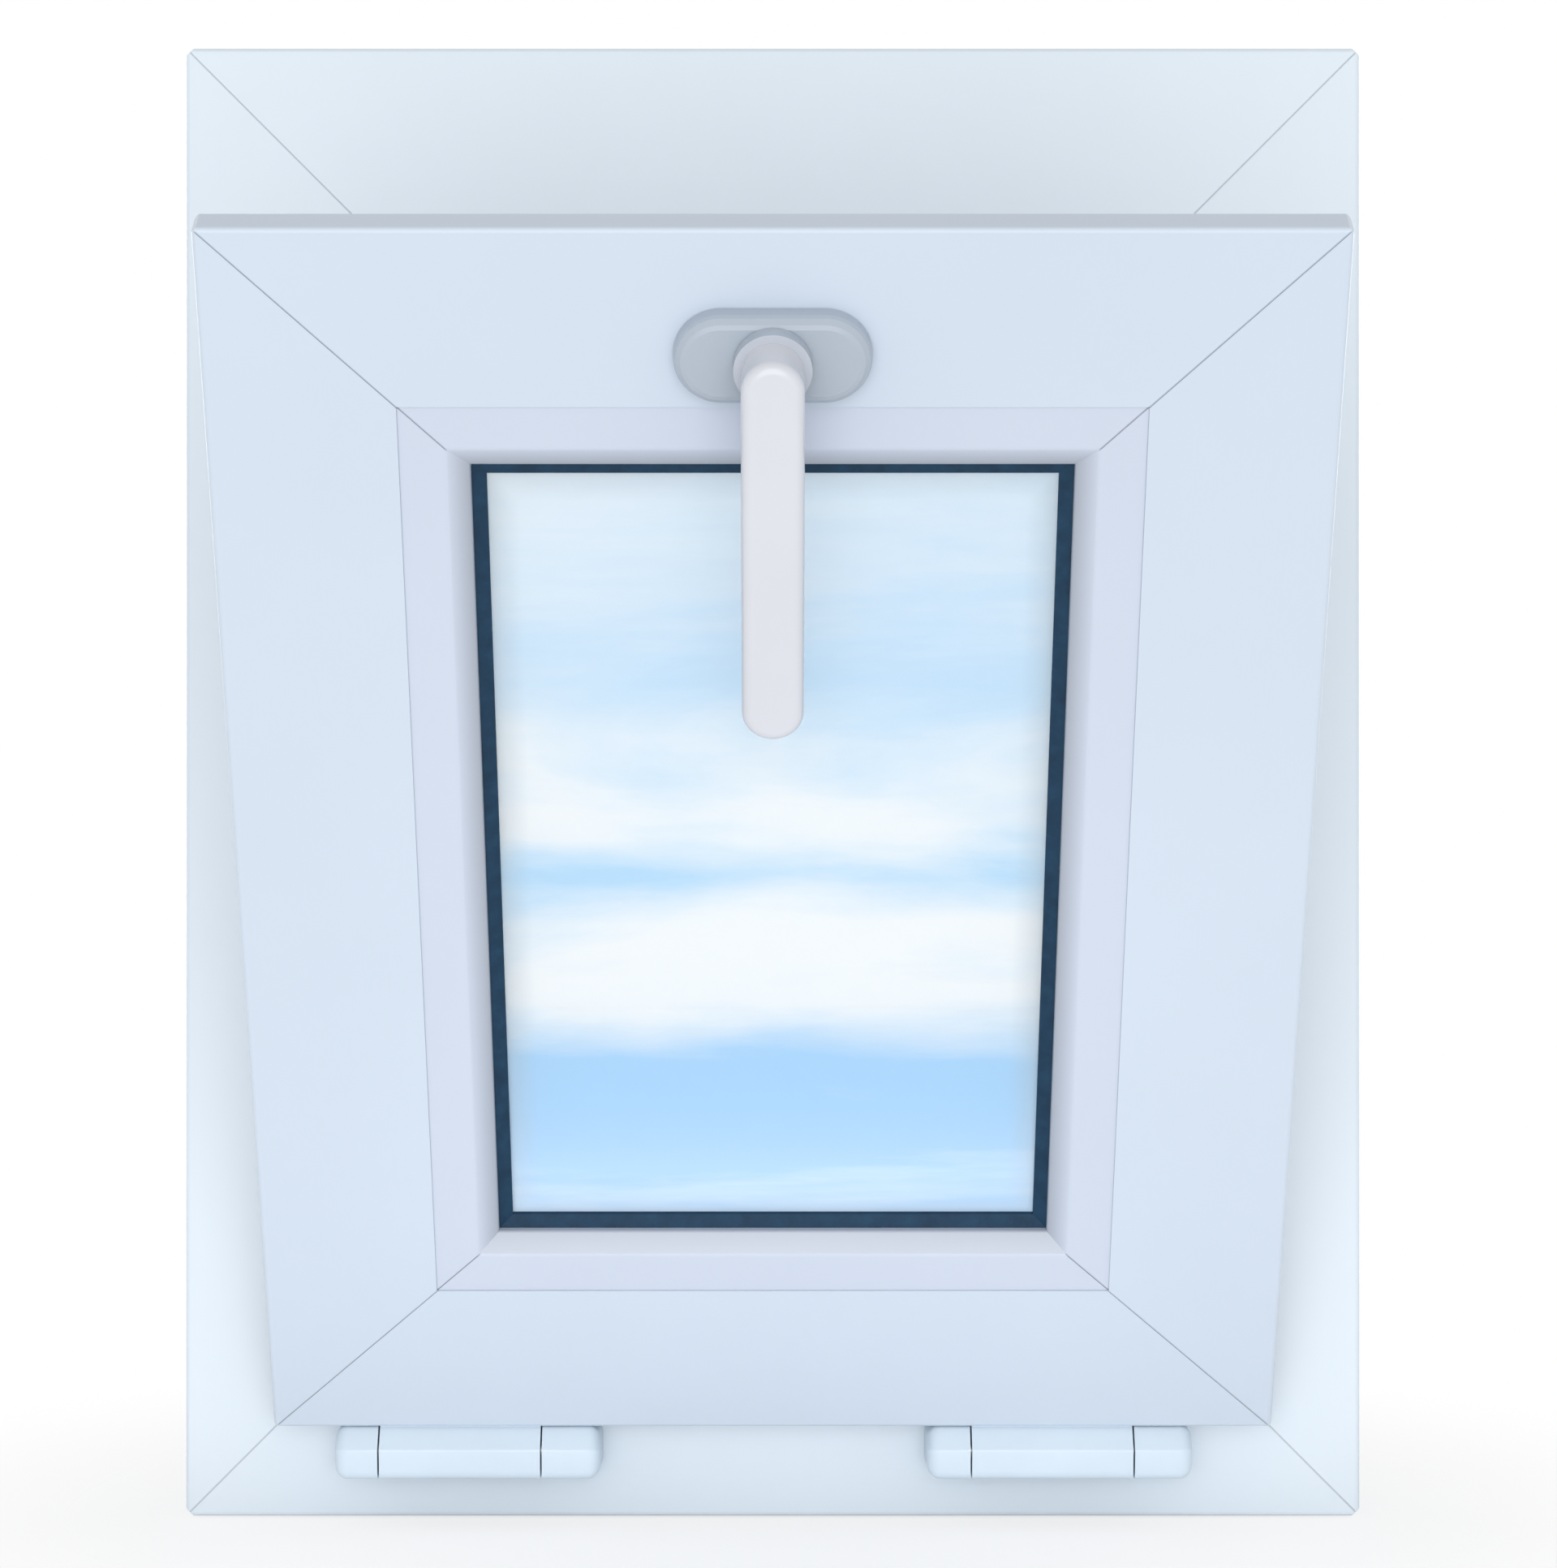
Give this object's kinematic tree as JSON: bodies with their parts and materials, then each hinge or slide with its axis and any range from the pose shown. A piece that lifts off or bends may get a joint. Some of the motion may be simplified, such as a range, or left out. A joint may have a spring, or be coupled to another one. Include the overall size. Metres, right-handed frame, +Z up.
{
  "type": "hopper window",
  "caption": "White plastic hopper window, hinged at the sill and tilted into the room on side stays, with a double-glazed sash, dark gaskets and a lever handle on the top rail.",
  "frame": {"origin": "middle of the frame's underside, at mid-depth of the frame", "axes": "+X to the right along the sill as seen from the room, +Y outdoors, +Z up"},
  "size_m": [0.4, 0.3076, 0.5],
  "materials": {
    "frame_profile": "satin white extruded plastic",
    "sash_profile": "satin white extruded plastic",
    "glazing_bead": "satin white extruded plastic",
    "gasket": "matt dark rubber",
    "glass": "clear float glass",
    "spacer": "mill aluminium",
    "hinge_cover": "satin white moulded cover",
    "handle_rose": "satin pale moulding",
    "handle_lever": "satin white coat",
    "hardware": "zinc-plated steel",
    "steel": "ground steel"
  },
  "bodies": {
    "frame": {"frame_head": "frame_profile", "frame_jamb_left": "frame_profile", "frame_jamb_right": "frame_profile", "frame_seal": "gasket", "frame_sill": "frame_profile", "stay_bracket_left": "hardware", "stay_bracket_right": "hardware", "striker_left": "hardware", "striker_right": "hardware", "hinge_left_frame_leaf": "hinge_cover", "hinge_left_pin": "steel", "hinge_right_frame_leaf": "hinge_cover", "hinge_right_pin": "steel"},
    "sash": {"bead_bottom": "glazing_bead", "bead_gasket_bottom": "gasket", "bead_gasket_left": "gasket", "bead_gasket_right": "gasket", "bead_gasket_top": "gasket", "bead_left": "glazing_bead", "bead_right": "glazing_bead", "bead_top": "glazing_bead", "handle_rose": "handle_rose", "hinge_left_sash_knuckle": "hinge_cover", "hinge_right_sash_knuckle": "hinge_cover", "inner_pane": "glass", "lock_cam_left": "hardware", "lock_cam_right": "hardware", "lock_faceplate": "hardware", "outer_glazing_gasket": "gasket", "outer_pane": "glass", "sash_bottom_rail": "sash_profile", "sash_seal": "gasket", "sash_stile_left": "sash_profile", "sash_stile_right": "sash_profile", "sash_top_rail": "sash_profile", "spacer_bar": "spacer"},
    "handle": {"handle_lever": "handle_lever"},
    "stay_left": {"stay_arm_left": "hardware"},
    "stay_right": {"stay_arm_right": "hardware"}
  },
  "joints": [
    {"name": "sash_tilt", "type": "hinge", "parent": "frame", "child": "sash", "pos_m": [0, -0.046, 0.0249], "axis": [-1, 0, 0], "range_deg": [0, 30]},
    {"name": "handle_turn", "type": "hinge", "parent": "sash", "child": "handle", "pos_m": [0, -0.25573, 0.37216], "axis": [0, -0.866, -0.5], "range_deg": [0, 90]},
    {"name": "stay_left_swing", "type": "hinge", "parent": "frame", "child": "stay_left", "pos_m": [-0.132, -0.014, 0.2249], "axis": [-1, 0, 0], "range_deg": [0, 69.67]},
    {"name": "stay_right_swing", "type": "hinge", "parent": "frame", "child": "stay_right", "pos_m": [0.132, -0.014, 0.2249], "axis": [-1, 0, 0], "range_deg": [0, 69.67]}
  ],
  "couplings": [
    {"joint": "stay_left_swing", "follows": "sash_tilt", "ratio": 2.3216},
    {"joint": "stay_right_swing", "follows": "sash_tilt", "ratio": 2.3216}
  ]
}
